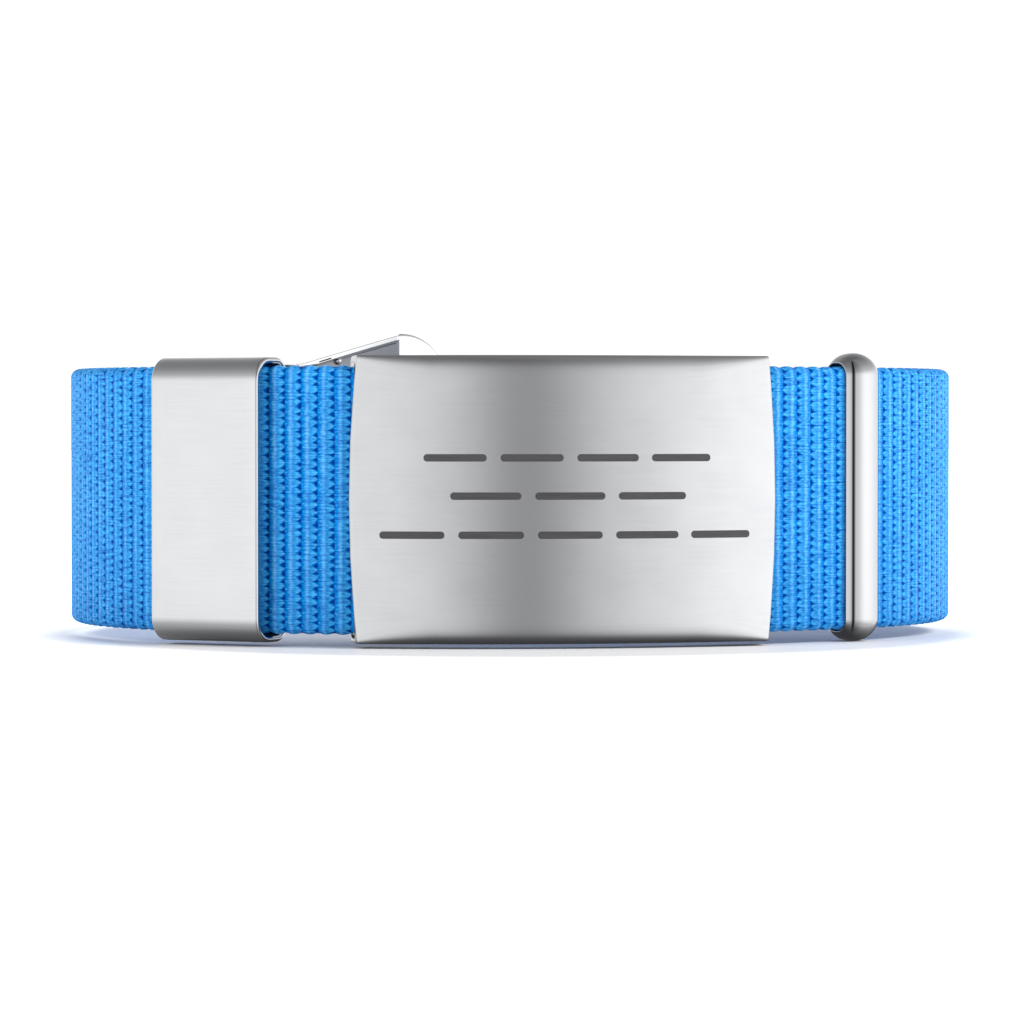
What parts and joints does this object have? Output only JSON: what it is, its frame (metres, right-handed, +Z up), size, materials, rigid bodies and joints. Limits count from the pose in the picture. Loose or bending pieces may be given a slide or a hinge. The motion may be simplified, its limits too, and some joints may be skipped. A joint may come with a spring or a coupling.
{
  "type": "medical alert bracelet",
  "caption": "Webbing medical alert bracelet: a ribbed blue nylon loop with a curved steel identity plate, a sleeve, a keeper ring and a lever clasp.",
  "frame": {"origin": "middle of the loop, on the plane it stands on", "axes": "+Z up along the wrist, +X along the loop's width, -Y out of the identity plate"},
  "size_m": [0.0702, 0.0615, 0.0243],
  "materials": {
    "webbing": "woven nylon, cross ribs, slight sheen",
    "plate_steel": "satin, fine grain, dark engraved dashes",
    "sheet_steel": "satin",
    "polished_steel": "mirror polished"
  },
  "bodies": {
    "bracelet": {"webbing_strap": "webbing", "id_plate": "plate_steel", "strap_sleeve": "sheet_steel", "keeper_ring": "polished_steel", "clasp_frame": "sheet_steel", "clasp_pin": "polished_steel"},
    "lever": {"clasp_lever": "polished_steel"}
  },
  "joints": [
    {"name": "lever_hinge", "type": "hinge", "parent": "bracelet", "child": "lever", "pos_m": [-0.01557, 0.02642, 0.0109], "axis": [0, 0, 1], "range_deg": [0, 100]}
  ]
}
